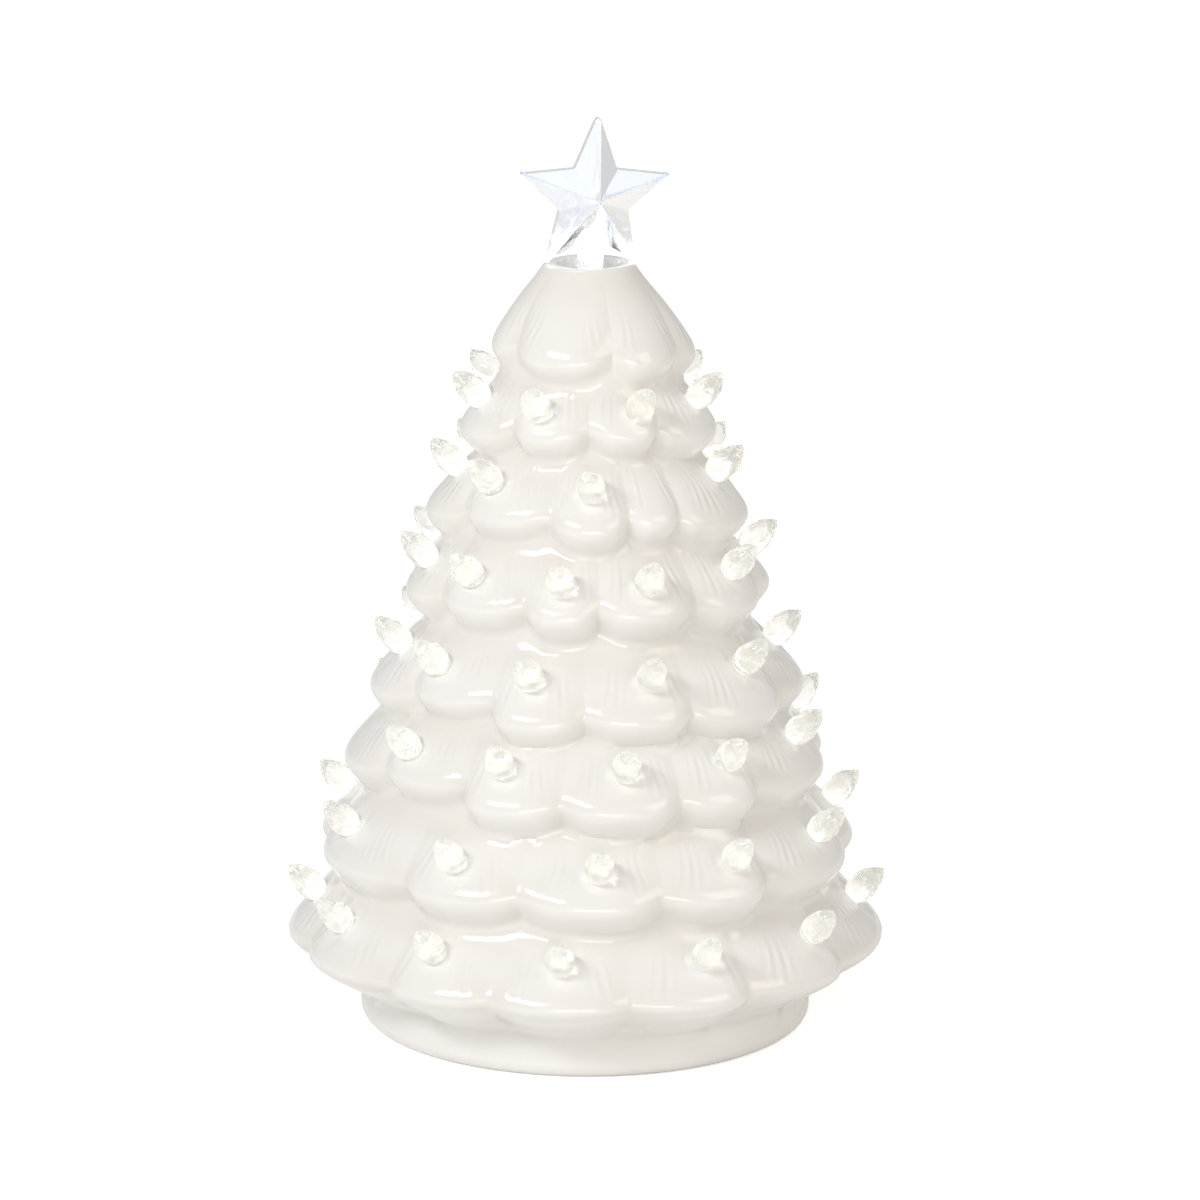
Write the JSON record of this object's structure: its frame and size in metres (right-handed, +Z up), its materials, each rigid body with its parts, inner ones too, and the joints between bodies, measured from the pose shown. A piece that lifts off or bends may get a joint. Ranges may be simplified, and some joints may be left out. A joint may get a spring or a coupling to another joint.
{
  "type": "christmas tree figurine",
  "caption": "Glazed ceramic table-top Christmas tree with clear peg bulbs in its branches, a clear star on top and a lit battery base in its foot.",
  "frame": {"origin": "middle of the foot's underside, on the surface that the tree stands on", "axes": "+Z up the trunk to the star, front of the tree towards -Y, +X to the viewer's right"},
  "size_m": [0.1518, 0.1517, 0.2303],
  "materials": {
    "glaze": "glossy off-white glaze",
    "clear_bulb": "clear, warm lit",
    "clear_star": "clear, faceted, cool lit",
    "white_plastic": "moulded, fine satin",
    "spring_steel": "nickel plated",
    "cell_wrap": "plain printed sleeve, no text",
    "circuit_board": "green solder mask",
    "black_plastic": "moulded",
    "warm_lamp": "clear epoxy",
    "cool_lamp": "clear epoxy",
    "grey_rubber": "matt",
    "lead_sleeve": "soft sleeve"
  },
  "bodies": {
    "tree": {"battery_1": "cell_wrap", "battery_2": "cell_wrap", "battery_3": "cell_wrap", "battery_base": "white_plastic", "bulb_row1_1": "clear_bulb", "bulb_row1_2": "clear_bulb", "bulb_row1_3": "clear_bulb", "bulb_row1_4": "clear_bulb", "bulb_row2_1": "clear_bulb", "bulb_row2_2": "clear_bulb", "bulb_row2_3": "clear_bulb", "bulb_row2_4": "clear_bulb", "bulb_row3_1": "clear_bulb", "bulb_row3_2": "clear_bulb", "bulb_row3_3": "clear_bulb", "bulb_row3_4": "clear_bulb", "bulb_row3_5": "clear_bulb", "bulb_row4_1": "clear_bulb", "bulb_row4_2": "clear_bulb", "bulb_row4_3": "clear_bulb", "bulb_row4_4": "clear_bulb", "bulb_row4_5": "clear_bulb", "bulb_row5_1": "clear_bulb", "bulb_row5_2": "clear_bulb", "bulb_row5_3": "clear_bulb", "bulb_row5_4": "clear_bulb", "bulb_row5_5": "clear_bulb", "bulb_row6_1": "clear_bulb", "bulb_row6_2": "clear_bulb", "bulb_row6_3": "clear_bulb", "bulb_row6_4": "clear_bulb", "bulb_row6_5": "clear_bulb", "bulb_row7_1": "clear_bulb", "bulb_row7_2": "clear_bulb", "bulb_row7_3": "clear_bulb", "bulb_row7_4": "clear_bulb", "bulb_row7_5": "clear_bulb", "bulb_row7_6": "clear_bulb", "bulb_row7_7": "clear_bulb", "circuit_board": "circuit_board", "contact_link_1": "spring_steel", "contact_link_2": "spring_steel", "contact_negative": "spring_steel", "contact_positive": "spring_steel", "grip_ring": "grey_rubber", "lamp_lid": "white_plastic", "lid_screw_1": "spring_steel", "lid_screw_2": "spring_steel", "lid_screw_3": "spring_steel", "star_lamp": "cool_lamp", "star_lead": "lead_sleeve", "star_topper": "clear_star", "switch_body": "black_plastic", "switch_lead": "lead_sleeve", "tree_lamp_1": "warm_lamp", "tree_lamp_2": "warm_lamp", "tree_lamp_3": "warm_lamp", "tree_shell": "glaze"},
    "battery_door": {"battery_door": "white_plastic"},
    "switch_knob": {"switch_knob": "black_plastic"}
  },
  "joints": [
    {"name": "battery_door_hinge", "type": "hinge", "parent": "tree", "child": "battery_door", "pos_m": [0, -0.02395, 0.0021], "axis": [-1, 0, 0], "range_deg": [0, 100]},
    {"name": "switch_slide", "type": "slide", "parent": "tree", "child": "switch_knob", "axis": [0, 1, 0], "range_m": [0, 0.004]}
  ]
}
